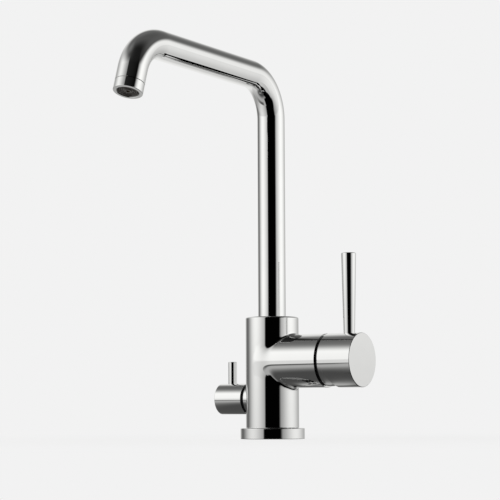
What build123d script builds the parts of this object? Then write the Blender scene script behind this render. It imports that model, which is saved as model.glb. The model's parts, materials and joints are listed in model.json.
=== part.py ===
from build123d import *
import math
import os

os.makedirs("parts", exist_ok=True)

# ---------------------------------------------------------------------------
# Three way filtered water tap, millimetres.
# Origin: centre of the underside, on the column's axis, on the deck plane.
# +Z up the column, +X along the mixer arm, spout points to -Y, knob on -X.
# ---------------------------------------------------------------------------

# column, flange and arm
BODY_R = 24.0          # column radius
ARM_R = 23.96          # mixer arm radius, a hair under the column's
COLUMN_TOP = 109.4
FLANGE_R = 29.0
FLANGE_H = 9.6
ARM_Z = 69.3           # height of the mixer arm's axis
ARM_END = 58.1         # end face of the arm along X

# spout: one bent tube
TUBE_R = 12.5
TUBE_WALL = 1.2
BEND_R = 37.5          # centreline radius of both bends
RUN_CORNER_Z = 326.6   # where the riser's axis meets the run's axis
RUN_LENGTH = 202.2     # corner to corner
RUN_RISE = 1.05        # degrees that the run climbs
OUTLET_TILT = 17.7     # degrees that the outlet leans out from vertical
OUTLET_LENGTH = 49.0   # corner to outlet mouth
RING_LENGTH = 8.7      # aerator housing that shows below the tube

# spout joint in the top of the column
SPOUT_BORE_R = 16.0
SPOUT_BORE_Z = 88.0
LOCK_Z = 98.0
SWIVEL = 120.0         # degrees each way, the lock screw's tip stops it

# mixer cartridge, side lever
SEAT_X = 32.0          # bottom of the cartridge bore
CART_R = 17.6
PIVOT_X = 61.4         # tilt pivot of the stem
STEM_ARM = 12.0        # pivot to the ball that pushes the disc
TILT = 24.0            # degrees, shut to fully open
CAP_REAR = 60.85
RELIEF_X = 61.4        # the cap's oblique relief passes through this X, 1 mm below the axis
CAP_END = 93.6
CAP_R = 24.0
LEVER_X = 80.4
LEVER_TOP = 164.0
LEVER_R_TOP = 6.6
LEVER_R_BASE = 5.05

# filtered water valve
KNOB_Z = 36.0
KNOB_R = 14.0
BOSS_END = -22.8
KNOB_REAR = -25.65
KNOB_END = -54.2
PIN_X = -43.0
PIN_R = 3.9
PIN_TOP = 69.8
VALVE_BORE_R = 8.5

# inlets under the base, all inside a 35 mm deck hole
PORT_XY = 6.7
PORT_R = 4.5           # M10 x 1 tapping bore
PORT_LENGTH = 9.4
STUD_R = 3.4           # M8 tapping bore
STUD_LENGTH = 9.4
INSERT_R = 20.0
INSERT_H = 26.0


def along_x(r, x0, x1, y=0.0, z=0.0):
    """Cylinder along X from x0 to x1."""
    lo, hi = min(x0, x1), max(x0, x1)
    return Pos((lo + hi) / 2, y, z) * Rot(0, 90, 0) * Cylinder(r, hi - lo)


def along_y(r, y0, y1, x=0.0, z=0.0):
    lo, hi = min(y0, y1), max(y0, y1)
    return Pos(x, (lo + hi) / 2, z) * Rot(90, 0, 0) * Cylinder(r, hi - lo)


def along_z(r, z0, z1, x=0.0, y=0.0):
    lo, hi = min(z0, z1), max(z0, z1)
    return Pos(x, y, (lo + hi) / 2) * Cylinder(r, hi - lo)


def ring_x(ro, ri, x0, x1, y=0.0, z=0.0):
    return along_x(ro, x0, x1, y, z) - along_x(ri, x0 - 1, x1 + 1, y, z) \
        if x0 < x1 else along_x(ro, x0, x1, y, z) - along_x(ri, x0 + 1, x1 - 1, y, z)


def ring_z(ro, ri, z0, z1, x=0.0, y=0.0):
    return along_z(ro, z0, z1, x, y) - along_z(ri, z0 - 1, z1 + 1, x, y)


def box(x0, x1, y0, y1, z0, z1):
    return Pos((x0 + x1) / 2, (y0 + y1) / 2, (z0 + z1) / 2) * \
        Box(x1 - x0, y1 - y0, z1 - z0)


def edges_at(shape, axis, value, radius=None, tol=0.02):
    """Circular edges lying in the plane axis = value."""
    out = []
    for e in shape.edges():
        bb = e.bounding_box()
        lo = getattr(bb.min, axis)
        hi = getattr(bb.max, axis)
        if abs(lo - value) < tol and abs(hi - value) < tol:
            if e.geom_type == GeomType.CIRCLE:
                if radius is None or abs(e.radius - radius) < 0.05:
                    out.append(e)
    return out


PARTS = {}


def put(name, shape):
    PARTS[name] = shape
    shape.label = name
    export_step(shape, "parts/" + name + ".step")


# ---------------------------------------------------------------------------
# base
# ---------------------------------------------------------------------------
base_ring = ring_z(FLANGE_R, INSERT_R + 0.1, 0.0, FLANGE_H)
base_ring = base_ring - ring_z(27.05, 22.95, -0.5, 2.05)
base_ring = fillet(edges_at(base_ring, "Z", FLANGE_H, FLANGE_R), 0.7)
base_ring = chamfer(edges_at(base_ring, "Z", 0.0, FLANGE_R), 0.35)
put("base_ring", base_ring)

put("base_seal", ring_z(27.0, 23.0, 0.1, 2.0))

base_insert = along_z(INSERT_R, 0.0, INSERT_H)
for px, py in ((PORT_XY, PORT_XY), (PORT_XY, -PORT_XY), (-PORT_XY, -PORT_XY)):
    base_insert -= along_z(PORT_R, -1.0, PORT_LENGTH, px, py)
for px, py, pr in ((PORT_XY, PORT_XY, 3.25), (PORT_XY, -PORT_XY, 3.25),
                   (-PORT_XY, -PORT_XY, 2.5)):
    base_insert -= along_z(pr, PORT_LENGTH - 1.0, INSERT_H + 1.0, px, py)
base_insert -= along_z(STUD_R, -1.0, STUD_LENGTH, -PORT_XY, PORT_XY)
put("base_insert", base_insert)

# ---------------------------------------------------------------------------
# cast body: column, mixer arm, filter boss, drilled waterways
# ---------------------------------------------------------------------------
column = along_z(BODY_R, FLANGE_H, COLUMN_TOP)
column = fillet(edges_at(column, "Z", COLUMN_TOP, BODY_R), 1.5)
column = fillet(edges_at(column, "Z", FLANGE_H, BODY_R), 0.8)
arm = along_x(ARM_R, 0.0, ARM_END, 0, ARM_Z)
arm = chamfer(edges_at(arm, "X", ARM_END, ARM_R), 0.25)
# the arm is saddled onto the column and brazed
arm -= along_z(BODY_R, 0.0, 140.0)
boss = along_x(KNOB_R, 0.0, BOSS_END, 0, KNOB_Z)
body = column + boss
# spot face round the filter boss
body -= along_x(KNOB_R + 0.1, BOSS_END, BOSS_END - 6.0, 0, KNOB_Z)
# insert bore
body -= along_z(INSERT_R, FLANGE_H - 1, INSERT_H)
# hot and cold: up, then out to the cartridge seat
HOT_Z = ARM_Z - 5.3
MIX_Z = ARM_Z + 7.7
for py in (PORT_XY, -PORT_XY):
    body -= along_z(3.25, INSERT_H - 1, HOT_Z + 3.25, PORT_XY, py)
    body -= along_x(3.25, PORT_XY, BODY_R + 1, py, HOT_Z)
    arm -= along_x(3.25, PORT_XY, SEAT_X + 1, py, HOT_Z)
# mixed water: back from the seat, then up into the spout bore
body -= along_x(4.0, 11.0, BODY_R + 1, 0, MIX_Z)
arm -= along_x(4.0, 11.0, SEAT_X + 1, 0, MIX_Z)
body -= along_z(4.0, MIX_Z - 4.0, SPOUT_BORE_Z + 1, 11.0, 0)
# cartridge bore and nut thread
arm -= along_x(CART_R + 0.2, SEAT_X, ARM_END + 1, 0, ARM_Z)
arm -= along_x(20.0, 53.0, ARM_END + 1, 0, ARM_Z)
put("mixer_arm", arm)
# spout bore, with a hub in the middle for the filtered water tube
body -= along_z(SPOUT_BORE_R, SPOUT_BORE_Z, COLUMN_TOP + 1)
hub = along_z(6.8, SPOUT_BORE_Z - 1, 94.0)
hub -= along_z(4.0, SPOUT_BORE_Z - 2, 95.0, 11.0, 0)
body += hub
body -= along_z(4.05, 86.0, 95.0)
body -= along_z(5.7, 90.0, 92.1)
# filtered water: port, valve seat, then up the axis
FILTER_IN_Z = KNOB_Z - 4.6
FILTER_OUT_Z = KNOB_Z + 4.6
body -= along_z(2.5, INSERT_H - 1, FILTER_IN_Z + 2.5, -PORT_XY, -PORT_XY)
body -= along_y(2.5, -PORT_XY, 2.4, -PORT_XY, FILTER_IN_Z)
body -= along_x(2.5, -PORT_XY, -11.0, 0, FILTER_IN_Z)
body -= along_x(2.5, 0.0, -11.0, 0, FILTER_OUT_Z)
body -= along_z(2.5, FILTER_OUT_Z - 2.5, 87.0)
body -= along_x(VALVE_BORE_R, BOSS_END - 1, -10.5, 0, KNOB_Z)
# lock screw hole at the back
body -= along_y(2.5, 15.0, 26.0, 0, LOCK_Z)
put("tap_body", body)

# ---------------------------------------------------------------------------
# spout joint
# ---------------------------------------------------------------------------
lock = along_y(2.45, 16.6, 23.4, 0, LOCK_Z) + along_y(1.5, 14.9, 17.0, 0, LOCK_Z)
lock -= Pos(0, 22.4, LOCK_Z) * Rot(90, 0, 0) * extrude(RegularPolygon(1.45, 6), 2.2, both=True)
put("spout_lock_screw", lock)

put("spout_glide_ring", ring_z(15.9, 12.6, SPOUT_BORE_Z, 88.8))
put("spout_top_bush", ring_z(15.95, TUBE_R + 0.08, 107.4, 109.2))

tail = ring_z(15.92, TUBE_R, 88.9, 107.3)
for gz in (91.2, 104.0):
    tail -= ring_z(17.0, 14.2, gz - 1.15, gz + 1.15)
# groove for the lock screw's tip, open over twice the swivel angle
groove = ring_z(17.0, 14.2, LOCK_Z - 1.8, LOCK_Z + 1.8)
half_closed = 180.0 - SWIVEL - 7.0
pts = [(0, 0)]
for a in (-half_closed, -half_closed / 2, 0, half_closed / 2, half_closed):
    ang = math.radians(-90.0 + a)
    pts.append((30 * math.cos(ang), 30 * math.sin(ang)))
wedge = extrude(make_face(Polyline(*pts, close=True)), 8)
wedge = Pos(0, 0, LOCK_Z - 4) * wedge
tail -= (groove - wedge)
put("spout_tail", tail)

o_lo = Pos(0, 0, 91.2) * Torus(15.12, 0.83)
o_hi = Pos(0, 0, 104.0) * Torus(15.12, 0.83)
put("spout_o_rings", Compound(children=[o_lo, o_hi]))

seal = ring_z(5.65, 4.06, 90.1, 92.0)
put("filtered_tube_seal", seal)

# ---------------------------------------------------------------------------
# spout: riser, bend, run, bend, outlet, all on one centreline
# ---------------------------------------------------------------------------
rise = math.radians(RUN_RISE)
tilt = math.radians(OUTLET_TILT)
P1 = Vector(0, 0, RUN_CORNER_Z)
RUN_DIR = Vector(0, -math.cos(rise), math.sin(rise))
OUT_DIR = Vector(0, -math.sin(tilt), -math.cos(tilt))
P2 = P1 + RUN_DIR * RUN_LENGTH
MOUTH = P2 + OUT_DIR * OUTLET_LENGTH


def spout_path(z0, back):
    """Centreline from height z0 to a point `back` above the mouth."""
    end = MOUTH - OUT_DIR * back
    return FilletPolyline((0, 0, z0), tuple(P1), tuple(P2), tuple(end),
                          radius=BEND_R)


def tube(ro, ri, z0, back):
    path = spout_path(z0, back)
    outer = sweep(Plane(origin=(0, 0, z0), z_dir=(0, 0, 1)) * Circle(ro), path=path)
    inner = sweep(Plane(origin=(0, 0, z0), z_dir=(0, 0, 1)) * Circle(ri), path=path)
    return outer - inner


spout = tube(TUBE_R, TUBE_R - TUBE_WALL, 90.0, RING_LENGTH)
put("spout_tube", spout)
path_len = spout_path(90.0, RING_LENGTH).length
print("spout tube volume", round(spout.volume, 1), "expected",
      round(math.pi * (TUBE_R ** 2 - (TUBE_R - TUBE_WALL) ** 2) * path_len, 1))

put("filtered_water_tube", tube(4.0, 3.0, 86.6, 20.5))

# outlet pieces are drawn along local Z: 0 at the mouth, minus is upstream
OUT = Plane(origin=tuple(MOUTH), x_dir=(1, 0, 0), z_dir=tuple(OUT_DIR))


def out_ring(ro, ri, s0, s1):
    return ring_z(ro, ri, s0, s1)


put("outlet_adapter", OUT * out_ring(TUBE_R - TUBE_WALL, 10.35, -20.0, -9.0))

housing = ring_z(TUBE_R, 8.6, -RING_LENGTH + 0.25, 0.0)
housing += ring_z(10.3, 8.6, -16.0, -RING_LENGTH + 0.5)
housing -= along_z(9.35, -2.6, 1.0)
housing = chamfer(edges_at(housing, "Z", 0.0, 9.35), 0.4)
housing = fillet(edges_at(housing, "Z", 0.0, TUBE_R), 0.5)
housing = chamfer(edges_at(housing, "Z", -RING_LENGTH + 0.25, TUBE_R), 0.2)
put("aerator_housing", OUT * housing)

put("aerator_washer", OUT * out_ring(10.25, 8.3, -17.6, -16.05))

insert = along_z(8.5, -15.8, -2.6) + along_z(9.25, -2.6, -1.5)
insert -= along_z(2.6, -17.0, 0.0)
for ro, ri in ((8.3, 7.7), (7.0, 6.4), (5.7, 5.1), (4.4, 3.8)):
    insert -= ring_z(ro, ri, -2.3, 0.0)
for k in range(24):
    a = 2 * math.pi * k / 24
    insert -= along_z(0.45, -16.5, -2.0, 6.05 * math.cos(a), 6.05 * math.sin(a))
put("aerator_insert", OUT * insert)

nozzle = along_z(2.5, -20.5, -1.0) + along_z(2.85, -23.4, -20.0) + along_z(4.0, -20.4, -19.0)
nozzle -= along_z(1.6, -30.0, 0.0)
put("filtered_nozzle", OUT * nozzle)

# ---------------------------------------------------------------------------
# mixer cartridge, all on the arm's axis
# ---------------------------------------------------------------------------
cart_base = along_x(CART_R, SEAT_X + 0.6, 38.0, 0, ARM_Z)
for py, pz, pr in ((PORT_XY, HOT_Z, 3.2), (-PORT_XY, HOT_Z, 3.2), (0, MIX_Z, 3.8)):
    cart_base -= along_x(pr, SEAT_X, 39.0, py, pz)
    cart_base -= along_x(pr + 1.4, SEAT_X, 33.6, py, pz)
put("cartridge_base", cart_base)

seals = [ring_x(pr + 1.35, pr + 0.05, SEAT_X, 33.6, py, pz)
         for py, pz, pr in ((PORT_XY, HOT_Z, 3.2), (-PORT_XY, HOT_Z, 3.2), (0, MIX_Z, 3.8))]
put("cartridge_seals", Compound(children=seals))

cart_shell = along_x(CART_R, 38.0, 54.0, 0, ARM_Z) + along_x(15.0, 53.0, 60.5, 0, ARM_Z)
cart_shell -= along_x(15.5, 37.0, 56.0, 0, ARM_Z) & along_x(15.5, 37.0, 53.0, 0, ARM_Z)
cart_shell -= along_x(14.0, 52.0, 56.0, 0, ARM_Z)
cart_shell -= along_x(12.55, 52.0, 61.0, 0, ARM_Z)
put("cartridge_housing", cart_shell)

fixed_disc = along_x(15.4, 38.0, 42.2, 0, ARM_Z)
for py, pz, pr in ((PORT_XY, HOT_Z, 3.2), (-PORT_XY, HOT_Z, 3.2), (0, MIX_Z, 3.8)):
    fixed_disc -= along_x(pr, 37.0, 43.0, py, pz)
put("fixed_ceramic_disc", fixed_disc)

moving_disc = along_x(10.2, 42.3, 46.1, 0, ARM_Z) & box(40, 48, -9.5, 9.5, ARM_Z - 20, ARM_Z + 20)
moving_disc -= along_x(6.0, 42.0, 44.3, 0, ARM_Z + 0.5)
put("moving_ceramic_disc", moving_disc)

carrier = along_x(10.3, 46.1, 51.4, 0, ARM_Z) & box(40, 58, -9.5, 9.5, ARM_Z - 20, ARM_Z + 20)
carrier -= along_x(3.15, 46.6, 52.0, 0, ARM_Z)
put("disc_carrier", carrier)

rotor = along_x(12.5, 52.0, 66.0, 0, ARM_Z)
rotor += along_x(13.7, 53.6, 55.7, 0, ARM_Z)
for sy in (1, -1):
    y0, y1 = sorted((sy * 9.75, sy * 11.9))
    rotor += box(46.6, 53.0, y0, y1, ARM_Z - 5.0, ARM_Z + 5.0)
rotor -= box(51.0, 67.0, -4.15, 4.15, ARM_Z - 7.4, ARM_Z + 7.8)
rotor -= along_y(2.0, -14, 14, PIVOT_X, ARM_Z)
put("cartridge_rotor", rotor)

put("stem_pivot_pin", along_y(2.0, -11.6, 11.6, PIVOT_X, ARM_Z))

stem = along_x(4.0, 57.0, 67.0, 0, ARM_Z)
stem += box(66.0, 86.0, -4.0, 4.0, ARM_Z - 4.0, ARM_Z + 4.0)
stem += along_x(2.0, PIVOT_X - STEM_ARM, 58.0, 0, ARM_Z)
stem += Pos(PIVOT_X - STEM_ARM, 0, ARM_Z) * Sphere(2.8)
stem -= along_y(2.05, -6, 6, PIVOT_X, ARM_Z)
put("mixer_stem", stem)

nut = ring_x(19.9, 15.1, 54.0, 56.8, 0, ARM_Z)
for k in range(6):
    a = math.radians(60 * k)
    nut -= Pos(57.0, 17.6 * math.cos(a), ARM_Z + 17.6 * math.sin(a)) * Rot(math.degrees(a), 0, 0) * Box(3.0, 6.0, 3.0)
put("cartridge_nut", nut)

# dark spacer in the joint line, and the domed trim ring that the cap tilts over
spacer = ring_x(22.2, 20.0, ARM_END, 60.5, 0, ARM_Z)
put("joint_spacer", spacer)

def on_sphere(r, x):
    return math.sqrt(r * r - (x - PIVOT_X) ** 2)


DOME_R, DOME_IN, DOME_END = 23.0, 21.4, 73.4
outline = [
    Line((60.5, 19.95), (60.5, on_sphere(DOME_R, 60.5))),
    ThreePointArc((60.5, on_sphere(DOME_R, 60.5)), (68.0, on_sphere(DOME_R, 68.0)),
                  (DOME_END, on_sphere(DOME_R, DOME_END))),
    Line((DOME_END, on_sphere(DOME_R, DOME_END)), (DOME_END, on_sphere(DOME_IN, DOME_END))),
    ThreePointArc((DOME_END, on_sphere(DOME_IN, DOME_END)), (68.0, on_sphere(DOME_IN, 68.0)),
                  (62.4, on_sphere(DOME_IN, 62.4))),
    Line((62.4, on_sphere(DOME_IN, 62.4)), (62.4, 18.4)),
    Line((62.4, 18.4), (56.9, 18.4)),
    Line((56.9, 18.4), (56.9, 19.95)),
    Line((56.9, 19.95), (60.5, 19.95)),
]
dome = revolve(Pos(0, 0, ARM_Z) * make_face(outline), Axis((0, 0, ARM_Z), (1, 0, 0)), 360)
put("dome_trim_ring", dome)

# ---------------------------------------------------------------------------
# mixer handle
# ---------------------------------------------------------------------------
cap = along_x(CAP_R, CAP_REAR, CAP_END, 0, ARM_Z)
cap = fillet(edges_at(cap, "X", CAP_END, CAP_R), 0.6)
cap -= along_x(23.3, CAP_REAR - 1, 70.5, 0, ARM_Z)
cap -= along_x(22.0, CAP_REAR - 1, 89.6, 0, ARM_Z)
cap += along_x(8.0, 70.0, 90.0, 0, ARM_Z)
cap += along_z(5.5, ARM_Z + 6.0, ARM_Z + 22.8, LEVER_X, 0)
cap += along_y(4.5, 6.0, 22.6, LEVER_X, ARM_Z)
cap -= box(69.0, 87.0, -4.03, 4.03, ARM_Z - 4.03, ARM_Z + 4.03)
cap -= along_z(3.0, ARM_Z + 3.0, ARM_Z + 26.0, LEVER_X, 0)
cap -= along_y(2.5, 3.0, 26.0, LEVER_X, ARM_Z)
# oblique relief at the lower rear, so the cap can tilt
cut_len = 60.0
slope = math.tan(math.radians(24.2))
relief = make_face(Polyline((RELIEF_X - 8.0, 9.0), (RELIEF_X - slope * 10.0, 9.0),
                            (RELIEF_X + slope * 30.0, -31.0), (RELIEF_X - 8.0, -31.0),
                            close=True))
relief = extrude(Plane(origin=(0, 30, ARM_Z), x_dir=(1, 0, 0), z_dir=(0, -1, 0)) * relief, cut_len)
cap -= relief
put("handle_cap", cap)

grub = along_y(2.45, 4.1, 14.0, LEVER_X, ARM_Z)
grub -= Pos(LEVER_X, 13.0, ARM_Z) * Rot(90, 0, 0) * extrude(RegularPolygon(1.45, 6), 2.0, both=True)
put("handle_grub_screw", grub)
plug = along_y(2.48, 20.6, 23.85, LEVER_X, ARM_Z)
put("handle_plug", plug)

lever = Pos(LEVER_X, 0, (ARM_Z + 21.0 + LEVER_TOP) / 2) * \
    Cone(LEVER_R_BASE - 0.05, LEVER_R_TOP, LEVER_TOP - ARM_Z - 21.0)
lever = fillet(edges_at(lever, "Z", LEVER_TOP, LEVER_R_TOP), 0.7)
lever -= along_x(CAP_R, 60, 100, 0, ARM_Z)
lever += along_z(2.98, ARM_Z + 4.1, ARM_Z + 25.0, LEVER_X, 0)
put("lever_rod", lever)

# ---------------------------------------------------------------------------
# filtered water valve and knob, along -X
# ---------------------------------------------------------------------------
vseal = along_x(8.4, -10.5, -12.4, 0, KNOB_Z)
for dz in (-4.0, 4.0):
    vseal -= along_x(1.9, -9.0, -13.0, 0, KNOB_Z + dz)
put("filter_valve_seal", vseal)

vfix = along_x(6.4, -12.4, -14.8, 0, KNOB_Z)
for dz in (-3.6, 3.6):
    vfix -= along_x(1.7, -12.0, -15.5, 0, KNOB_Z + dz)
put("filter_fixed_disc", vfix)

vrot = along_x(6.3, -14.85, -16.9, 0, KNOB_Z)
vrot -= box(-15.9, -14.0, -1.9, 1.9, KNOB_Z - 5.2, KNOB_Z + 5.2)
put("filter_turning_disc", vrot)

vbody = along_x(VALVE_BORE_R - 0.03, -12.4, -23.4, 0, KNOB_Z)
vbody += Pos(-25.75, 0, KNOB_Z) * Rot(0, 90, 0) * extrude(RegularPolygon(10.4, 6), 2.85, both=True)
vbody += along_x(7.0, -28.0, -35.0, 0, KNOB_Z)
vbody -= along_x(6.5, -12.0, -20.4, 0, KNOB_Z)
vbody -= along_x(4.05, -20.0, -36.0, 0, KNOB_Z)
vbody -= along_x(5.0, -30.0, -32.0, 0, KNOB_Z)
put("filter_valve_body", vbody)

spindle = along_x(6.2, -16.95, -20.2, 0, KNOB_Z)
spindle += along_x(4.0, -20.0, -36.6, 0, KNOB_Z)
spindle += box(-49.5, -36.0, -3.0, 3.0, KNOB_Z - 3.0, KNOB_Z + 3.0)
spindle -= ring_x(4.5, 3.3, -36.4, -35.1, 0, KNOB_Z)
put("filter_spindle", spindle)

put("spindle_o_ring", ring_x(4.95, 4.05, -31.9, -30.1, 0, KNOB_Z))

clip = ring_x(6.2, 3.35, -36.2, -35.2, 0, KNOB_Z)
clip -= box(-37.0, -35.0, -1.6, 1.6, KNOB_Z - 7.0, KNOB_Z)
put("spindle_clip", clip)

put("knob_gap_ring", ring_x(12.6, 10.7, -25.3, BOSS_END, 0, KNOB_Z))

knob = along_x(KNOB_R, KNOB_REAR, KNOB_END, 0, KNOB_Z)
knob = fillet(edges_at(knob, "X", KNOB_END, KNOB_R), 0.6)
knob = chamfer(edges_at(knob, "X", KNOB_REAR, KNOB_R), 0.2)
knob -= along_x(12.0, KNOB_REAR + 1, -51.0, 0, KNOB_Z)
knob += along_x(6.5, -37.6, -52.0, 0, KNOB_Z)
knob += along_z(3.8, KNOB_Z + 5.0, KNOB_Z + 13.0, PIN_X, 0)
knob -= box(-50.2, -36.0, -3.03, 3.03, KNOB_Z - 3.03, KNOB_Z + 3.03)
knob -= along_z(2.0, KNOB_Z + 2.0, KNOB_Z + 16.0, PIN_X, 0)
put("filter_knob", knob)

pin = along_z(PIN_R, KNOB_Z + 12.0, PIN_TOP, PIN_X, 0)
pin = fillet(edges_at(pin, "Z", PIN_TOP, PIN_R), 0.5)
pin -= along_x(KNOB_R, -60, -20, 0, KNOB_Z)
pin += along_z(1.98, KNOB_Z + 3.1, KNOB_Z + 15.0, PIN_X, 0)
put("filter_knob_pin", pin)

print("mouth", [round(v, 2) for v in MOUTH], "nodes", len(PARTS))
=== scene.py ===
import bpy
import bmesh
import json
import math
import numpy as np
from mathutils import Vector, Matrix


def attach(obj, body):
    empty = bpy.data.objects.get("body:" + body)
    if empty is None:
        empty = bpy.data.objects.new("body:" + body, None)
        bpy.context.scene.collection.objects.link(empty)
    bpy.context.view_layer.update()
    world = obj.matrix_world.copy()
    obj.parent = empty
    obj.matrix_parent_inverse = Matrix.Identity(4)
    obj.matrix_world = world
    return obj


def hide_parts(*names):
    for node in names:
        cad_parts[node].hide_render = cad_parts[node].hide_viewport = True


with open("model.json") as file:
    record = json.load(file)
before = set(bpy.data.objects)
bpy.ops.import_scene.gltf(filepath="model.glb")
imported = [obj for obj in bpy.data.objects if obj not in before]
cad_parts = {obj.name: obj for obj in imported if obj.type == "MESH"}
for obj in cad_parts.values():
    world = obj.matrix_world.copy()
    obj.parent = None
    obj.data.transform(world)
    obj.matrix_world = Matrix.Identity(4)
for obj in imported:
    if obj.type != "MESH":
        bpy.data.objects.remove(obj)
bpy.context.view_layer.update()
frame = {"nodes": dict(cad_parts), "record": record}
nodes = frame["nodes"]

MM = 0.001

# ---------------------------------------------------------------------------
# camera: fitted to the outline of the tap
# ---------------------------------------------------------------------------
AZ = math.radians(33.06)
PITCH = math.radians(5.10)
ROLL = math.radians(-0.24)
DIST = 1.600
SIDE = -0.01969
HEIGHT = 0.02796
FOCAL_PX = 1767.1

fwd_h = Vector((-math.sin(AZ), math.cos(AZ), 0))
right = Vector((math.cos(AZ), math.sin(AZ), 0))
up = Vector((0, 0, 1))
fwd = fwd_h * math.cos(PITCH) + up * math.sin(PITCH)
upc = -fwd_h * math.sin(PITCH) + up * math.cos(PITCH)
r2 = right * math.cos(ROLL) + upc * math.sin(ROLL)
u2 = -right * math.sin(ROLL) + upc * math.cos(ROLL)
eye = -DIST * fwd_h + SIDE * right + HEIGHT * up

cam_data = bpy.data.cameras.new("camera")
cam = bpy.data.objects.new("camera", cam_data)
bpy.context.scene.collection.objects.link(cam)
cam_data.sensor_fit = "HORIZONTAL"
cam_data.sensor_width = 36.0
cam_data.lens = FOCAL_PX / 500.0 * 36.0
cam_data.clip_start = 0.05
cam_data.clip_end = 50.0
m = Matrix.Identity(4)
for i in range(3):
    m[i][0] = r2[i]
    m[i][1] = u2[i]
    m[i][2] = -fwd[i]
    m[i][3] = eye[i]
cam.matrix_world = m
bpy.context.scene.camera = cam


# ---------------------------------------------------------------------------
# small node helpers
# ---------------------------------------------------------------------------
class Tree:
    def __init__(self, tree):
        self.t = tree
        self.t.nodes.clear()

    def add(self, kind, **props):
        n = self.t.nodes.new(kind)
        for k, v in props.items():
            setattr(n, k, v)
        return n

    def link(self, a, b):
        self.t.links.new(a, b)

    def put(self, socket, value):
        if isinstance(value, bpy.types.NodeSocket):
            self.link(value, socket)
        else:
            socket.default_value = value

    def math(self, op, a, b=None, c=None, clamp=False):
        n = self.add("ShaderNodeMath", operation=op)
        n.use_clamp = clamp
        self.put(n.inputs[0], a)
        if b is not None:
            self.put(n.inputs[1], b)
        if c is not None:
            self.put(n.inputs[2], c)
        return n.outputs[0]

    def smooth(self, x, e0, e1, v0=0.0, v1=1.0):
        n = self.add("ShaderNodeMapRange", interpolation_type="SMOOTHSTEP")
        self.put(n.inputs[0], x)
        n.inputs[1].default_value = e0
        n.inputs[2].default_value = e1
        n.inputs[3].default_value = v0
        n.inputs[4].default_value = v1
        return n.outputs[0]

    def ramp(self, x, stops, interp="LINEAR"):
        n = self.add("ShaderNodeValToRGB")
        n.color_ramp.interpolation = interp
        els = n.color_ramp.elements
        while len(els) < len(stops):
            els.new(0.5)
        for e, (p, c) in zip(els, stops):
            e.position = p
            c = (c, c, c) if isinstance(c, (int, float)) else c
            e.color = (c[0], c[1], c[2], 1.0)
        self.put(n.inputs[0], x)
        return n.outputs[0]

    def mix(self, fac, a, b):
        n = self.add("ShaderNodeMix", data_type="FLOAT")
        self.put(n.inputs[0], fac)
        self.put(n.inputs[2], a)
        self.put(n.inputs[3], b)
        return n.outputs[0]


# ---------------------------------------------------------------------------
# studio: tall soft boxes left, right and behind, a dark gap at the front, a dark ceiling
# ---------------------------------------------------------------------------
FRONT = Vector((math.sin(AZ), -math.cos(AZ), 0.0))
SIDE_R = Vector((math.cos(AZ), math.sin(AZ), 0.0))


class Studio(Tree):
    """Light as a function of direction: bearing from the front (right is +) and elevation, in degrees."""

    def aim(self, vector):
        self.sep = self.dot(vector, FRONT), self.dot(vector, SIDE_R), self.dot(vector, Vector((0, 0, 1)))
        f, r, _ = self.sep
        ln = self.math("MAXIMUM", self.math("SQRT", self.math("ADD", self.math("MULTIPLY", f, f), self.math("MULTIPLY", r, r))), 1e-5)
        self.cf, self.cr = self.math("DIVIDE", f, ln), self.math("DIVIDE", r, ln)
        self.bearing = self.math("MULTIPLY", self.math("ARCTAN2", r, f), 180 / math.pi)

    def dot(self, v, axis):
        n = self.add("ShaderNodeVectorMath", operation="DOT_PRODUCT")
        self.link(v, n.inputs[0])
        n.inputs[1].default_value = axis
        return n.outputs["Value"]

    def lobe(self, centre, tight):
        """A soft round lobe of bearing: 1 at its centre, falling off faster as tight grows."""
        c, s_ = math.cos(math.radians(centre)), math.sin(math.radians(centre))
        d = self.math("MULTIPLY_ADD", self.cf, c, self.math("MULTIPLY", self.cr, s_))
        return self.math("EXPONENT", self.math("MULTIPLY", self.math("SUBTRACT", d, 1.0), tight))

    def gap(self, left, left_soft, right_, right_soft):
        """1 outside the dark gap between two bearings, 0 inside it."""
        up_ = self.smooth(self.math("SUBTRACT", self.bearing, left), -left_soft, left_soft)
        dn = self.smooth(self.math("SUBTRACT", self.bearing, right_), -right_soft, right_soft, 1.0, 0.0)
        return self.math("SUBTRACT", 1.0, self.math("MULTIPLY", up_, dn))

    def times(self, *xs):
        out_ = xs[0]
        for x in xs[1:]:
            out_ = self.math("MULTIPLY", out_, x)
        return out_

    def total(self, *xs):
        out_ = xs[0]
        for x in xs[1:]:
            out_ = self.math("ADD", out_, x)
        return out_


world = bpy.data.worlds.new("studio")
bpy.context.scene.world = world
world.use_nodes = True
w = Studio(world.node_tree)
coord = w.add("ShaderNodeTexCoord")
norm = w.add("ShaderNodeVectorMath", operation="NORMALIZE")
w.link(coord.outputs["Generated"], norm.inputs[0])
w.aim(norm.outputs[0])
elev = w.math("MULTIPLY", w.math("ARCSINE", w.sep[2]), 180 / math.pi)

# each soft box: brightness, bearing, tightness, top edge and its softness
LEFT_BOXES = [
    (0.62, -77, 3.2, 42, 14),      # left
    (0.36, -82, 1.6, 45, 13.5),    # left, overhead
]
OTHER_BOXES = [
    (0.93, 84, 2.9, 23.5, 7.5),    # right
    (0.68, -174, 11.4, 30, 12),    # behind
    (0.22, 135, 4.0, 28, 8),       # behind, right
]


def sum_of(group):
    total_ = None
    for level, bearing, tight, top, soft in group:
        b_ = w.times(w.lobe(bearing, tight), level, w.smooth(elev, top - soft, top + soft, 1.0, 0.0))
        total_ = b_ if total_ is None else w.math("ADD", total_, b_)
    return total_


# a dark card stands between the left box and the one behind
card = w.times(w.lobe(-144, 6.5), w.smooth(elev, 9, 15, 0.85, 0.0), w.smooth(elev, -16, 1, 0.0, 1.0))
boxes = w.total(w.times(sum_of(LEFT_BOXES), w.math("SUBTRACT", 1.0, card)), sum_of(OTHER_BOXES))
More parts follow.
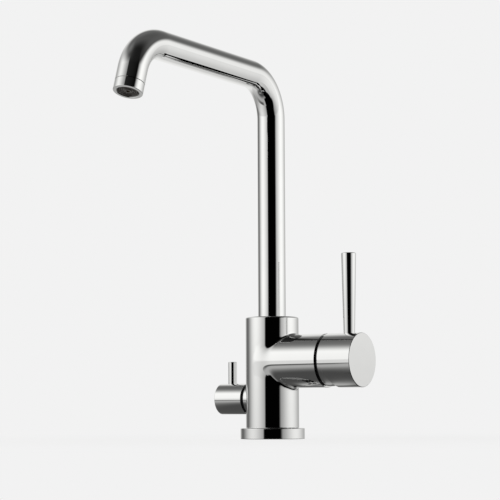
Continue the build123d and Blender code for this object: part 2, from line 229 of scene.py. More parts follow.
# the boxes stand on a pale table and are a little dimmer near it
low = w.total(w.smooth(elev, -0.8, 4.2, 0.76, 1.0), w.smooth(elev, -30, -3, -0.10, 0.0),
              w.times(w.total(w.times(w.lobe(180, 3.0), 0.25), w.times(w.lobe(112, 4.0), 0.07)), w.smooth(elev, -2, 4, 1.0, 0.0)))
boxes = w.times(boxes, low)
left_edge = w.smooth(elev, 1, 5, -32.8, -31.2)
edge = w.total(w.smooth(elev, -30, -9, 49, 32.5), w.smooth(elev, 0, 5, 0.0, 4.0), w.smooth(elev, 9, 22, 0.0, 20.0))
boxes = w.times(boxes, w.gap(left_edge, 3.0, edge, 5.5))
# a second panel stands higher up behind, and the ceiling is dark in front and greyer behind
high = w.times(w.lobe(-166, 9.0), 0.38, w.smooth(elev, 18, 34), w.smooth(elev, 36, 53, 1.0, 0.0))
front_ = w.sep[0]
ceiling = w.total(w.smooth(elev, 22, 42, 0.0006, 0.0105),
                  w.times(w.total(w.smooth(front_, -0.10, 0.40, 0.070, 0.0), w.times(w.smooth(front_, -0.55, -0.05, 0.055, 0.0), w.lobe(-175, 4.0))),
                          w.smooth(elev, 20, 37)),
                  w.times(w.lobe(-80, 3.4), 0.085, w.smooth(elev, 35, 56), w.smooth(elev, 64, 80, 1.0, 0.0)), high)
sky = w.total(boxes, ceiling)
bg = w.add("ShaderNodeBackground")
tone = w.add("ShaderNodeCombineColor")
w.link(sky, tone.inputs[0])
w.link(sky, tone.inputs[1])
w.link(w.math("MULTIPLY", sky, 0.985), tone.inputs[2])
w.link(tone.outputs[0], bg.inputs["Color"])
bg.inputs["Strength"].default_value = 1.0
out = w.add("ShaderNodeOutputWorld")
w.link(bg.outputs[0], out.inputs["Surface"])


def seen_only_by(ob, *kinds):
    for k in ("camera", "glossy", "diffuse", "transmission", "volume_scatter", "shadow"):
        setattr(ob, "visible_" + k, k in kinds)


def disc(name, radius, z, segments=96):
    me = bpy.data.meshes.new(name)
    bm_ = bmesh.new()
    bmesh.ops.create_circle(bm_, cap_ends=True, segments=segments, radius=radius)
    bm_.to_mesh(me)
    bm_.free()
    ob = bpy.data.objects.new(name, me)
    ob.location = (0, 0, z)
    bpy.context.scene.collection.objects.link(ob)
    return ob


PALE = 0.888
FLOOR_DIFFUSE = 0.30
FLOOR_LIT = 0.09

dome = bpy.data.meshes.new("backdrop")
bm = bmesh.new()
bmesh.ops.create_uvsphere(bm, u_segments=48, v_segments=24, radius=8.0)
bm.to_mesh(dome)
bm.free()
backdrop = bpy.data.objects.new("backdrop", dome)
bpy.context.scene.collection.objects.link(backdrop)
bd = bpy.data.materials.new("backdrop_pale")
bd.use_nodes = True
t = Tree(bd.node_tree)
e = t.add("ShaderNodeEmission")
e.inputs["Color"].default_value = (PALE, PALE, PALE, 1.0)
o = t.add("ShaderNodeOutputMaterial")
t.link(e.outputs[0], o.inputs["Surface"])
dome.materials.append(bd)
seen_only_by(backdrop, "camera")

# the floor: pale, with a faint contact shadow close to the tap
floor = disc("floor", 7.5, -0.0003)
fm = bpy.data.materials.new("floor_pale")
fm.use_nodes = True
t = Studio(fm.node_tree)
geo = t.add("ShaderNodeNewGeometry")
ln = t.add("ShaderNodeVectorMath", operation="LENGTH")
t.link(geo.outputs["Position"], ln.inputs[0])
near = t.smooth(ln.outputs["Value"], 0.10, 0.45, 1.0, 0.0)
dif = t.add("ShaderNodeBsdfDiffuse")
t.link(t.ramp(near, [(0.0, 0.0), (1.0, FLOOR_DIFFUSE)]), dif.inputs["Color"])
emi = t.add("ShaderNodeEmission")
emi.inputs["Color"].default_value = (1, 1, 1, 1)
t.link(t.math("MULTIPLY_ADD", near, -FLOOR_LIT, PALE), emi.inputs["Strength"])
addn = t.add("ShaderNodeAddShader")
t.link(dif.outputs[0], addn.inputs[0])
t.link(emi.outputs[0], addn.inputs[1])
o = t.add("ShaderNodeOutputMaterial")
t.link(addn.outputs[0], o.inputs["Surface"])
floor.data.materials.append(fm)
seen_only_by(floor, "camera")

# what the chrome sees of the table close by, painted as a glowing disc: painted shade darker towards the tap, black in
# front, and on the left a thin dark line where the soft box meets it. Farther out it melts into the surround.
table = disc("table_in_reflections", 0.50, -0.008, 128)
tm = bpy.data.materials.new("table_painted_light")
tm.use_nodes = True
t = Studio(tm.node_tree)
geo = t.add("ShaderNodeNewGeometry")
pos = geo.outputs["Position"]
t.aim(pos)
ln = t.add("ShaderNodeVectorMath", operation="LENGTH")
t.link(pos, ln.inputs[0])
rad_ = ln.outputs["Value"]
spread = t.smooth(rad_, 0.070, 0.19, 0.165, 1.0)
# painted light: the disc is brighter towards the left, the right and behind
level = t.total(0.33, t.times(t.lobe(-70, 1.6), 0.04), t.times(t.lobe(125, 1.2), 0.22), t.times(t.lobe(178, 4.0), 0.14))
inside = t.math("SUBTRACT", 1.0, t.gap(-27.5, 3.3, 25.0, 4.0))
dark_front = t.times(inside, t.smooth(rad_, 0.135, 0.185))
# the painted dark of the front carries on round the right of the tap as painted shade, close in, and spreads out again
# behind it
rim = t.math("MAXIMUM", t.smooth(t.bearing, 109, 138, 0.215, 0.48), t.smooth(t.bearing, 36, 62, 0.55, 0.215))
arc = t.times(t.smooth(t.bearing, -4, 10), t.smooth(t.bearing, 157, 166, 1.0, 0.0),
              t.smooth(t.math("SUBTRACT", rad_, t.smooth(t.bearing, 95, 135, 0.070, 0.25)), 0.0, 0.022),
              t.smooth(t.math("SUBTRACT", rad_, rim), -0.012, 0.02, 1.0, 0.0))
painted_lit = t.math("SUBTRACT", 1.0, t.math("MAXIMUM", dark_front, arc))
left_side = t.lobe(-68, 3.5)
seam = t.times(t.smooth(rad_, 0.235, 0.300), left_side, t.smooth(t.bearing, -52, -42, 0.80, 0.0))
# a painted bright patch close in on the right of the tap
painted_glow = t.times(t.lobe(98, 5.0), t.smooth(rad_, 0.030, 0.042), t.smooth(rad_, 0.052, 0.070, 1.0, 0.0), 0.30)
level = t.total(t.times(level, spread, painted_lit, t.math("SUBTRACT", 1.0, seam)), painted_glow)
fade = t.smooth(t.math("MULTIPLY_ADD", left_side, 0.075, rad_), 0.435, 0.490)
emi = t.add("ShaderNodeEmission")
emi.inputs["Color"].default_value = (1, 1, 0.985, 1)
t.link(level, emi.inputs["Strength"])
clear = t.add("ShaderNodeBsdfTransparent")
mixs = t.add("ShaderNodeMixShader")
t.link(fade, mixs.inputs[0])
t.link(emi.outputs[0], mixs.inputs[1])
t.link(clear.outputs[0], mixs.inputs[2])
o = t.add("ShaderNodeOutputMaterial")
t.link(mixs.outputs[0], o.inputs["Surface"])
table.data.materials.append(tm)
seen_only_by(table, "glossy")

bpy.context.scene.view_settings.view_transform = "Standard"
bpy.context.scene.view_settings.look = "None"
bpy.context.scene.view_settings.exposure = 0.0
bpy.context.scene.view_settings.gamma = 1.0


# ---------------------------------------------------------------------------
# materials
# ---------------------------------------------------------------------------
def surface(name, color, metallic=0.0, rough=0.3, variation=0.04, rough_span=0.05,
            noise_scale=180.0, bump=0.0, bump_scale=900.0, stretch=(1, 1, 1), specular=0.5,
            coat=0.0):
    """Principled surface whose colour, roughness and fine relief vary procedurally."""
    mat = bpy.data.materials.new(name)
    mat.use_nodes = True
    t = Tree(mat.node_tree)
    bsdf = t.add("ShaderNodeBsdfPrincipled")
    o = t.add("ShaderNodeOutputMaterial")
    t.link(bsdf.outputs[0], o.inputs["Surface"])
    tc = t.add("ShaderNodeTexCoord")
    mp = t.add("ShaderNodeMapping")
    mp.inputs["Scale"].default_value = stretch
    t.link(tc.outputs["Object"], mp.inputs["Vector"])
    nz = t.add("ShaderNodeTexNoise")
    nz.inputs["Scale"].default_value = noise_scale
    nz.inputs["Detail"].default_value = 5.0
    nz.inputs["Roughness"].default_value = 0.6
    t.link(mp.outputs[0], nz.inputs["Vector"])
    lo = tuple(max(0.0, c * (1 - variation)) for c in color)
    hi = tuple(min(1.0, c * (1 + variation)) for c in color)
    colour = t.ramp(nz.outputs["Fac"], [(0.35, lo), (0.65, hi)])
    t.link(colour, bsdf.inputs["Base Color"])
    bsdf.inputs["Metallic"].default_value = metallic
    t.link(t.smooth(nz.outputs["Fac"], 0.3, 0.7, max(0.0, rough - rough_span), rough + rough_span),
           bsdf.inputs["Roughness"])
    bsdf.inputs["Specular IOR Level"].default_value = specular
    if coat:
        bsdf.inputs["Coat Weight"].default_value = coat
    if bump:
        nb = t.add("ShaderNodeTexNoise")
        nb.inputs["Scale"].default_value = bump_scale
        nb.inputs["Detail"].default_value = 3.0
        t.link(mp.outputs[0], nb.inputs["Vector"])
        b = t.add("ShaderNodeBump")
        b.inputs["Strength"].default_value = bump
        b.inputs["Distance"].default_value = 0.0002
        t.link(nb.outputs["Fac"], b.inputs["Height"])
        t.link(b.outputs[0], bsdf.inputs["Normal"])
    return mat


def chrome(name):
    """Bright chrome plate: mirror polish with faint smears and hairline polishing marks."""
    mat = bpy.data.materials.new(name)
    mat.use_nodes = True
    t = Tree(mat.node_tree)
    bsdf = t.add("ShaderNodeBsdfPrincipled")
    o = t.add("ShaderNodeOutputMaterial")
    t.link(bsdf.outputs[0], o.inputs["Surface"])
    tc = t.add("ShaderNodeTexCoord")
    smear = t.add("ShaderNodeTexNoise")
    smear.inputs["Scale"].default_value = 38.0
    smear.inputs["Detail"].default_value = 6.0
    smear.inputs["Roughness"].default_value = 0.55
    smear.inputs["Distortion"].default_value = 0.6
    t.link(tc.outputs["Object"], smear.inputs["Vector"])
    mp = t.add("ShaderNodeMapping")
    mp.inputs["Scale"].default_value = (1.0, 1.0, 0.06)
    mp.inputs["Rotation"].default_value = (0.5, 0.3, 0.0)
    t.link(tc.outputs["Object"], mp.inputs["Vector"])
    hair = t.add("ShaderNodeTexNoise")
    hair.inputs["Scale"].default_value = 1400.0
    hair.inputs["Detail"].default_value = 2.0
    t.link(mp.outputs[0], hair.inputs["Vector"])
    tint = t.ramp(smear.outputs["Fac"], [(0.3, (0.955, 0.957, 0.955)), (0.7, (0.985, 0.985, 0.982))])
    t.link(tint, bsdf.inputs["Base Color"])
    bsdf.inputs["Metallic"].default_value = 1.0
    r1 = t.smooth(smear.outputs["Fac"], 0.35, 0.75, 0.012, 0.028)
    r2_ = t.smooth(hair.outputs["Fac"], 0.55, 0.8, 0.0, 0.012)
    t.link(t.math("ADD", r1, r2_), bsdf.inputs["Roughness"])
    return mat


MATS = {
    "chrome": chrome("chrome_plate"),
    "brass": surface("machined_brass", (0.66, 0.47, 0.20), 1.0, 0.24, 0.08, 0.08, 300, 0.25, 900, (1, 1, 12)),
    "stainless_steel": surface("turned_steel", (0.58, 0.58, 0.59), 1.0, 0.26, 0.06, 0.07, 300, 0.25, 900, (1, 1, 12)),
    "black_rubber": surface("black_rubber", (0.018, 0.018, 0.019), 0.0, 0.55, 0.25, 0.10, 500, 0.3, 2600, (1, 1, 1), 0.35),
    "black_plastic": surface("black_plastic", (0.012, 0.012, 0.013), 0.0, 0.42, 0.20, 0.06, 400, 0.2, 2200, (1, 1, 1), 0.4),
    "white_plastic": surface("white_plastic", (0.80, 0.80, 0.77), 0.0, 0.32, 0.04, 0.06, 120, 0.12, 1800, (1, 1, 1), 0.5),
    "grey_plastic": surface("grey_plastic", (0.115, 0.104, 0.096), 0.0, 0.40, 0.12, 0.08, 400, 0.2, 2200, (1, 1, 1), 0.5),
    "white_ceramic": surface("white_ceramic", (0.88, 0.88, 0.86), 0.0, 0.12, 0.02, 0.04, 90, 0.05, 1500, (1, 1, 1), 0.5, 0.4),
}

slot_of = {s["node"]: s["material_slot"] for s in frame["record"]["subparts"]}
for name, ob in nodes.items():
    ob.data.materials.clear()
    ob.data.materials.append(MATS[slot_of[name]])

# ---------------------------------------------------------------------------
# mesh building: everything here is in millimetres until it reaches the mesh
# ---------------------------------------------------------------------------
TOL = 0.004


def unit(v):
    v = np.asarray(v, float)
    return v / np.linalg.norm(v)


class Frame3:
    """A turning axis: origin, axis w, and x, y across it (x, y, w right-handed)."""

    def __init__(self, origin, w, x):
        self.o = np.asarray(origin, float)
        self.w = unit(w)
        self.x = unit(x)
        self.y = np.cross(self.w, self.x)

    def put(self, u, ang, s):
        u, ang, s = np.broadcast_arrays(np.asarray(u, float), ang, s)
        return (self.o + (u * np.cos(ang))[..., None] * self.x
                + (u * np.sin(ang))[..., None] * self.y + s[..., None] * self.w)

    def split(self, p):
        q = p - self.o
        s = q @ self.w
        a, b = q @ self.x, q @ self.y
        u = np.hypot(a, b)
        rad = (a[:, None] * self.x + b[:, None] * self.y) / np.maximum(u, 1e-9)[:, None]
        return u, s, rad


def straight(a, b, n=1, even=True):
    """Profile piece from a to b as (radius, height); material is on its left."""
    a, b = np.array(a, float), np.array(b, float)
    t = np.linspace(0, 1, n + 1)[:, None]
    d = unit(b - a)
    return {"kind": "line", "pts": a + (b - a) * t, "a": a, "b": b, "n": np.array([d[1], -d[0]])}


def bend(c, r, a0, a1, n=6):
    """Profile arc round c from angle a0 to a1 in degrees: rising angle is convex, falling is hollow."""
    t = np.radians(np.linspace(a0, a1, n + 1))
    c = np.array(c, float)
    return {"kind": "arc", "pts": c + r * np.stack([np.cos(t), np.sin(t)], 1), "c": c, "r": r,
            "sign": 1.0 if a1 > a0 else -1.0}


def outline(*items):
    """Chain of straight() and bend(): plain (r, s) tuples are joined by straight pieces."""
    segs, last = [], None
    for it in items:
        if isinstance(it, dict):
            if last is not None and np.linalg.norm(it["pts"][0] - last) > 1e-6:
                segs.append(straight(last, it["pts"][0]))
            segs.append(it)
            last = it["pts"][-1]
        else:
            it = np.array(it, float)
            if last is not None and np.linalg.norm(it - last) > 1e-6:
                segs.append(straight(last, it))
            last = it
    return segs


def profile_surfaces(fr, segs):
    out = []
    for sg in segs:
        def f(p, sg=sg):
            u, s, rad = fr.split(p)
            q = np.stack([u, s], 1)
            if sg["kind"] == "line":
                d = (q - sg["a"]) @ sg["n"]
                ab = sg["b"] - sg["a"]
                t = (q - sg["a"]) @ ab / (ab @ ab)
                d = np.where((t > -0.02) & (t < 1.02), d, 9.0)
                n2 = np.broadcast_to(sg["n"], q.shape)
            else:
                v = q - sg["c"]
                ln = np.linalg.norm(v, axis=1)
                d = ln - sg["r"]
                n2 = sg["sign"] * v / np.maximum(ln, 1e-9)[:, None]
            return d, n2[:, :1] * rad + n2[:, 1:] * fr.w
        out.append(f)
    return out


def new_mesh(name, verts, faces):
    me = bpy.data.meshes.new(name)
    me.from_pydata((np.asarray(verts) * MM).tolist(), [], faces)
    me.validate(clean_customdata=False)
    ob = bpy.data.objects.new(name, me)
    bpy.context.scene.collection.objects.link(ob)
    return ob


def rings_to_mesh(name, rings, closed):
    """rings: list of (n, 3) arrays, or a single point (1, 3) for a pole. Faces look outward."""
    verts = np.concatenate(rings)
    start = np.cumsum([0] + [len(r) for r in rings])
    faces = []
    n = max(len(r) for r in rings)
    pairs = [(k, k + 1) for k in range(len(rings) - 1)] + ([(len(rings) - 1, 0)] if closed else [])
    for a, b in pairs:
        for j in range(n):
            k = (j + 1) % n
            if len(rings[a]) == 1:
                faces.append((start[a], start[b] + k, start[b] + j))
            elif len(rings[b]) == 1:
                faces.append((start[a] + j, start[a] + k, start[b]))
            else:
                faces.append((start[a] + j, start[a] + k, start[b] + k, start[b] + j))
    return new_mesh(name, verts, [tuple(int(i) for i in f) for f in faces])


def turned(name, fr, segs, n=192, warp=None):
    """A turned piece: the profile swept right round the axis. warp(p, ang) may move its points."""
    pts = []
    for sg in segs:
        for q in sg["pts"]:
            if not pts or np.linalg.norm(pts[-1] - q) > 1e-6:
                pts.append(q)
    closed = np.linalg.norm(pts[0] - pts[-1]) < 1e-6
    if closed:
        pts = pts[:-1]
    ang = 2 * np.pi * np.arange(n) / n
    rings = []
    for q in pts:
        if q[0] < 1e-6:
            rings.append(fr.put(0.0, np.zeros(1), q[1]))
        else:
            p = fr.put(q[0], ang, q[1])
            rings.append(warp(p, ang, q) if warp else p)
    ob = rings_to_mesh(name, rings, closed)
    ob["surfaces"] = 0
    return ob


def shade(ob, surfaces, cos_min=0.9, tol=TOL):
    """Gives each face that lies on a known surface that surface's own normals; the rest stay flat."""
    me = ob.data
    me.update()
    nv, nl, npoly = len(me.vertices), len(me.loops), len(me.polygons)
    co = np.empty(nv * 3, np.float32)
    me.vertices.foreach_get("co", co)
    co = co.reshape(-1, 3).astype(float) / MM
    lv = np.empty(nl, np.int32)
    me.loops.foreach_get("vertex_index", lv)
    st = np.empty(npoly, np.int32)
    tot = np.empty(npoly, np.int32)
    pn = np.empty(npoly * 3, np.float32)
    me.polygons.foreach_get("loop_start", st)
    me.polygons.foreach_get("loop_total", tot)
    me.polygons.foreach_get("normal", pn)
    pn = pn.reshape(-1, 3).astype(float)
    pol = np.repeat(np.arange(npoly), tot)
    ln = pn[pol].copy()
    done = np.zeros(npoly, bool)
    for f in surfaces:
        d, n = f(co)
        ok = (np.abs(d) < tol)[lv]
        cosv = (n[lv] * pn[pol]).sum(1)
        sel = np.logical_and.reduceat(ok, st) & (np.minimum.reduceat(cosv, st) > cos_min) & ~done
        m = sel[pol]
        ln[m] = n[lv][m]
        done |= sel
    me.polygons.foreach_set("use_smooth", np.ones(npoly, bool))
    ln /= np.linalg.norm(ln, axis=1)[:, None]
    me.normals_split_custom_set(ln.tolist())
    me.update()
    return ob


def cut(ob, other, how="DIFFERENCE"):
    """Boolean with another object, which is then removed."""
    m = ob.modifiers.new("cut", "BOOLEAN")
    m.operation = how
    m.solver = "EXACT"
    m.object = other
    dg = bpy.context.evaluated_depsgraph_get()
    me = bpy.data.meshes.new_from_object(ob.evaluated_get(dg))
    ob.modifiers.clear()
    old = ob.data
    ob.data = me
    bpy.data.meshes.remove(old)
    dead = other.data
    bpy.data.objects.remove(other)
    bpy.data.meshes.remove(dead)
    return ob


def finish_piece(ob, body, slot, mat, *nodes_):
    ob.data.materials.clear()
    ob.data.materials.append(MATS[mat])
    ob.data.name = ob.name
    if "surfaces" in ob:
        del ob["surfaces"]
    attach(ob, body)
    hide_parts(*nodes_)
    return ob


AXIS_Z = Frame3((0, 0, 0), (0, 0, 1), (1, 0, 0))
ARM_Z = 69.3
AXIS_ARM = Frame3((0, 0, ARM_Z), (1, 0, 0), (0, 1, 0))
KNOB_Z = 36.0
AXIS_KNOB = Frame3((0, 0, KNOB_Z), (-1, 0, 0), (0, 1, 0))

# ---------------------------------------------------------------------------
# base flange
# ---------------------------------------------------------------------------
segs = outline((20.1, 0.0), (22.95, 0.0), (22.95, 2.05), (27.05, 2.05), (27.05, 0.0), (28.65, 0.0),
               (29.0, 0.35), (29.0, 8.9), bend((28.3, 8.9), 0.7, 0, 90, 7), (28.3, 9.6), (20.1, 9.6), (20.1, 0.0))
flange = turned("flange_shell", AXIS_Z, segs, 240)
shade(flange, profile_surfaces(AXIS_Z, segs))
finish_piece(flange, "body", "chrome", "chrome", "base_ring")

# ---------------------------------------------------------------------------
# cast body: column and arm run into each other through a polished blend
# ---------------------------------------------------------------------------
R_COL, R_ARM, ARM_END, COL_TOP, COL_FOOT = 24.0, 23.97, 58.1, 109.4, 9.6
N = 240
HALF = N // 4


def blend_k(z):
    t = np.clip((z - (ARM_Z - 12.0)) / 24.0, 0, 1)
    t = t * t * (3 - 2 * t)
    return BLEND_LOW + (BLEND_TOP - BLEND_LOW) * t


BLEND_LOW, BLEND_TOP = 4.2, 3.0


def body_surface(p):
    """Distance to the blended column and arm, and its gradient."""
    rc = np.hypot(p[:, 0], p[:, 1])
    ra = np.hypot(p[:, 1], p[:, 2] - ARM_Z)
    a, b = rc - R_COL, ra - R_ARM
    na = np.stack([p[:, 0], p[:, 1], np.zeros(len(p))], 1) / np.maximum(rc, 1e-9)[:, None]
    nb = np.stack([np.zeros(len(p)), p[:, 1], p[:, 2] - ARM_Z], 1) / np.maximum(ra, 1e-9)[:, None]
    k = blend_k(p[:, 2])
    # nothing of the arm exists on the far side of the column
    b = np.where(p[:, 0] < 0, b + (p[:, 0] / 6.0) ** 2 * 3.0, b)
    h = np.maximum(k - np.abs(a - b), 0) / k
    f = np.minimum(a, b) - h ** 3 * k / 6.0
    wmin = 1.0 - h * h / 2.0
    wa = np.where(a < b, wmin, 1.0 - wmin)
    g = wa[:, None] * na + (1.0 - wa)[:, None] * nb
    return f, g / np.maximum(np.linalg.norm(g, axis=1), 1e-9)[:, None]


def settle(p, steps=8):
    for _ in range(steps):
        f, g = body_surface(p)
        p = p - f[:, None] * g
    return p


deg_i = 2 * np.pi * np.arange(N) / N
crease = np.stack([R_COL * np.abs(np.sin(deg_i)), R_COL * np.cos(deg_i), ARM_Z + R_COL * np.sin(deg_i)], 1)
off_z = np.array([0, .25, .5, .8, 1.15, 1.55, 2.0, 2.55, 3.2, 4.0, 4.9, 6.0, 7.3, 8.8])
off_x = np.array([0, .25, .5, .8, 1.15, 1.55, 2.0, 2.55, 3.2, 4.0, 4.9, 6.0, 7.3, 8.8, 10.8, 13.4])

verts, faces = [], []


def add(points):
    k = len(verts)
    verts.extend(points.tolist())
    return list(range(k, k + len(points)))


crease_id = add(settle(crease))
theta = deg_i
front = np.cos(theta) > -1e-9
back_pts = np.stack([R_COL * np.cos(theta), R_COL * np.sin(theta), np.full(N, ARM_Z)], 1)
back_only = [i for i in range(N) if not front[i]]
ids = dict(zip(back_only, add(settle(back_pts[back_only]))))
signed = [(i if i <= N // 2 else i - N) for i in range(N)]
row_hi = [crease_id[(HALF - signed[i]) % N] if front[i] else ids[i] for i in range(N)]
row_lo = [crease_id[(signed[i] - HALF) % N] if front[i] else ids[i] for i in range(N)]
lift = np.where(front, R_COL * np.cos(theta), 0.0).clip(0)


def column_rows(first, sign, end, steps):
    rows = [first]
    for o in off_z[1:]:
        z = ARM_Z + sign * (lift + o)
        pts = np.stack([R_COL * np.cos(theta), R_COL * np.sin(theta), z], 1)
        rows.append(add(settle(pts)))
    z0 = ARM_Z + sign * (lift + off_z[-1])
    for k in range(1, steps + 1):
        z = z0 + (end - z0) * k / steps
        pts = np.stack([R_COL * np.cos(theta), R_COL * np.sin(theta), z], 1)
        rows.append(add(settle(pts) if k < steps else pts))
    return rows


def strip(ra, rb, flip=False):
    n = len(ra)
    for j in range(n):
        k = (j + 1) % n
        q = [ra[j], ra[k], rb[k], rb[j]]
        q = [v for i, v in enumerate(q) if v not in q[:i]]
        if len(q) > 2:
            faces.append(tuple(q[::-1] if flip else q))


up_rows = column_rows(row_hi, 1.0, COL_TOP - 1.5, 5)
for a, b in zip(up_rows, up_rows[1:]):
    strip(a, b)
lo_rows = column_rows(row_lo, -1.0, COL_FOOT + 0.8, 10)
for a, b in zip(lo_rows, lo_rows[1:]):
    strip(a, b, flip=True)


def lathe_on(last, fr, segs_, ang, flip=False):
    """Carries a mesh on from its ring `last` along a profile, closing at the axis."""
    for sg in segs_:
        for q in sg["pts"][1:]:
            if q[0] < 1e-6:
                c = add(fr.put(0.0, np.zeros(1), q[1]))[0]
                for j in range(len(last)):
                    t = (last[j], last[(j + 1) % len(last)], c)
                    faces.append(t[::-1] if flip else t)
                return
            nxt = add(fr.put(q[0], ang, q[1]))
            strip(last, nxt, flip)
            last = nxt


top_segs = outline(bend((COL_TOP and 22.5, COL_TOP - 1.5), 1.5, 0, 90, 10), (16.0, COL_TOP), (16.0, 88.0), (4.25, 88.0), (4.25, 86.3), (0.0, 86.3))
lathe_on(up_rows[-1], AXIS_Z, top_segs, theta)
foot_segs = outline((0.0, 26.0), (20.0, 26.0), (20.0, COL_FOOT), (23.2, COL_FOOT), bend((23.2, COL_FOOT + 0.8), 0.8, -90, 0, 6))
back_way = []
for sg in foot_segs[::-1]:
    back_way.append(dict(sg, pts=sg["pts"][::-1]))
lathe_on(lo_rows[-1], AXIS_Z, back_way, theta, flip=True)

rows = [crease_id]
x0 = R_COL * np.abs(np.sin(deg_i))
for o in off_x[1:]:
    rows.append(add(settle(np.stack([x0 + o, R_ARM * np.cos(deg_i), ARM_Z + R_ARM * np.sin(deg_i)], 1))))
x1 = x0 + off_x[-1]
for k in range(1, 6):
    x = x1 + (ARM_END - 0.25 - x1) * k / 5
    pts = np.stack([x, R_ARM * np.cos(deg_i), ARM_Z + R_ARM * np.sin(deg_i)], 1)
    rows.append(add(settle(pts) if k < 5 else pts))
for a, b in zip(rows, rows[1:]):
    strip(a, b)
arm_segs = outline((R_ARM, ARM_END - 0.25), (R_ARM - 0.25, ARM_END), (20.0, ARM_END), (20.0, 53.0), (17.8, 53.0), (17.8, 32.0), (0.0, 32.0))
lathe_on(rows[-1], AXIS_ARM, arm_segs, deg_i)

body_ob = new_mesh("column_and_arm_shell", np.array(verts), faces)

# boss that carries the filter valve, spot faced, with the valve's bore; lock screw hole at the back
boss_segs = outline((0.0, 12.0), (14.0, 12.0), (14.0, 22.6), (13.8, 22.8), (0.0, 22.8))
boss = turned("boss", AXIS_KNOB, boss_segs, 160)
cut(body_ob, boss, "UNION")
spot_segs = outline((0.0, 22.8), (14.1, 22.8), (14.1, 30.0), (0.0, 30.0))
cut(body_ob, turned("spot", AXIS_KNOB, spot_segs, 160))
bore_segs = outline((0.0, 10.5), (8.5, 10.5), (8.5, 30.0), (0.0, 30.0))
cut(body_ob, turned("bore", AXIS_KNOB, bore_segs, 96))
AXIS_LOCK = Frame3((0, 0, 98.0), (0, 1, 0), (0, 0, 1))
lock_segs = outline((0.0, 15.5), (2.5, 15.5), (2.5, 23.72), (2.9, 24.2), (2.9, 26.0), (0.0, 26.0))
cut(body_ob, turned("lock_hole", AXIS_LOCK, lock_segs, 64))


def body_outer(p):
    f, g = body_surface(p)
    f = np.where((p[:, 2] > COL_FOOT + 0.79) & (p[:, 2] < COL_TOP - 1.49) & (p[:, 0] < ARM_END - 0.24), f, 9.0)
    return f, g


def hollow(fs):
    return [lambda p, f=f: (lambda d, n: (d, -n))(*f(p)) for f in fs]


shade(body_ob, [body_outer] + profile_surfaces(AXIS_Z, top_segs + foot_segs) + profile_surfaces(AXIS_ARM, arm_segs)
      + profile_surfaces(AXIS_KNOB, boss_segs) + hollow(profile_surfaces(AXIS_KNOB, bore_segs + spot_segs)
      + profile_surfaces(AXIS_LOCK, lock_segs)))
finish_piece(body_ob, "body", "chrome", "chrome", "tap_body", "mixer_arm")

# ---------------------------------------------------------------------------
# spout tube: riser, bend, run, bend and outlet on one centreline
# ---------------------------------------------------------------------------
RISE, LEAN, BEND_R = math.radians(1.05), math.radians(17.7), 37.5
C1 = np.array([0, 0, 326.6])
RUN = np.array([0, -math.cos(RISE), math.sin(RISE)])
OUT = np.array([0, -math.sin(LEAN), -math.cos(LEAN)])
C2 = C1 + RUN * 202.2
MOUTH = C2 + OUT * 49.0


def corner(c, d0, d1, n):
    """Points and directions along the bend at corner c, from direction d0 to d1."""
    turn = math.acos(float(d0 @ d1))
    t = BEND_R * math.tan(turn / 2)
    a = c - d0 * t
    inward = unit(d1 - d0 * (d0 @ d1))
    mid = a + inward * BEND_R
    out_ = []
    for k in range(n + 1):
        g = turn * k / n
        out_.append((mid + BEND_R * (d0 * math.sin(g) - inward * math.cos(g)),
                     d0 * math.cos(g) + inward * math.sin(g)))
    return out_


UPV = np.array([0.0, 0.0, 1.0])
path = [(np.array([0, 0, z]), UPV) for z in np.linspace(90.0, C1[2] - 36.0, 40)]
b1 = corner(C1, UPV, RUN, 60)
path = [q for q in path if q[0][2] < b1[0][0][2] - 1.0] + b1
b2 = corner(C2, RUN, OUT, 70)
s0, s1 = b1[-1][0], b2[0][0]
path += [(s0 + (s1 - s0) * k / 24, RUN) for k in range(1, 24)]
path += b2
e0, e1 = b2[-1][0], MOUTH - OUT * 8.7
path += [(e0 + (e1 - e0) * k / 4, OUT) for k in range(1, 5)]
ang = 2 * np.pi * np.arange(160) / 160


def tube_ring(c, d, r):
    x = np.array([1.0, 0, 0])
    y = np.cross(d, x)
    return c + r * (np.cos(ang)[:, None] * x + np.sin(ang)[:, None] * y)


rings = [tube_ring(path[0][0], path[0][1], 11.3), tube_ring(path[0][0], path[0][1], 12.5)]
rings += [tube_ring(c, d, 12.5) for c, d in path[1:-1]]
rings += [tube_ring(path[-1][0] - OUT * 0.12, OUT, 12.5), tube_ring(path[-1][0], OUT, 12.38),
          tube_ring(path[-1][0], OUT, 11.3)]
rings += [tube_ring(c, d, 11.3) for c, d in path[-2:0:-6]]
tube_ob = rings_to_mesh("spout_tube_shell", rings, True)
centre = np.array([c for c, d in path])


def tube_surface(p):
    """Outside of the tube, straight pieces and bends, by the nearest centreline."""
    best = np.full(len(p), 1e3)
    nrm = np.zeros((len(p), 3))

    def take(q, inside):
        ln = np.linalg.norm(q, axis=1)
        d = ln - 12.5
        m = inside & (np.abs(d) < np.abs(best))
        best[m] = d[m]
        nrm[m] = q[m] / ln[m][:, None]

    for a, b in ((path[0][0], b1[0][0]), (b1[-1][0], b2[0][0]), (b2[-1][0], e1)):
        ab = b - a
        t = ((p - a) @ ab) / (ab @ ab)
        take(p - (a + t[:, None] * ab), (t > -1e-4) & (t < 1.0001))
    for pts, d0, d1, c in ((b1, UPV, RUN, C1), (b2, RUN, OUT, C2)):
        turn = math.acos(float(d0 @ d1))
        inward = unit(d1 - d0 * (d0 @ d1))
        mid = c - d0 * BEND_R * math.tan(turn / 2) + inward * BEND_R
        q = p - mid
        u, v = q @ d0, -(q @ inward)
        g = np.arctan2(u, v)
        on = mid + BEND_R * (np.sin(g)[:, None] * d0 - np.cos(g)[:, None] * inward)
        take(p - on, (g > -1e-4) & (g < turn + 1e-4))
    return best, nrm


def tube_inside(p):
    d, n = tube_surface(p)
    return d + 1.2, -n


shade(tube_ob, [tube_surface, tube_inside])
finish_piece(tube_ob, "spout", "chrome", "chrome", "spout_tube")

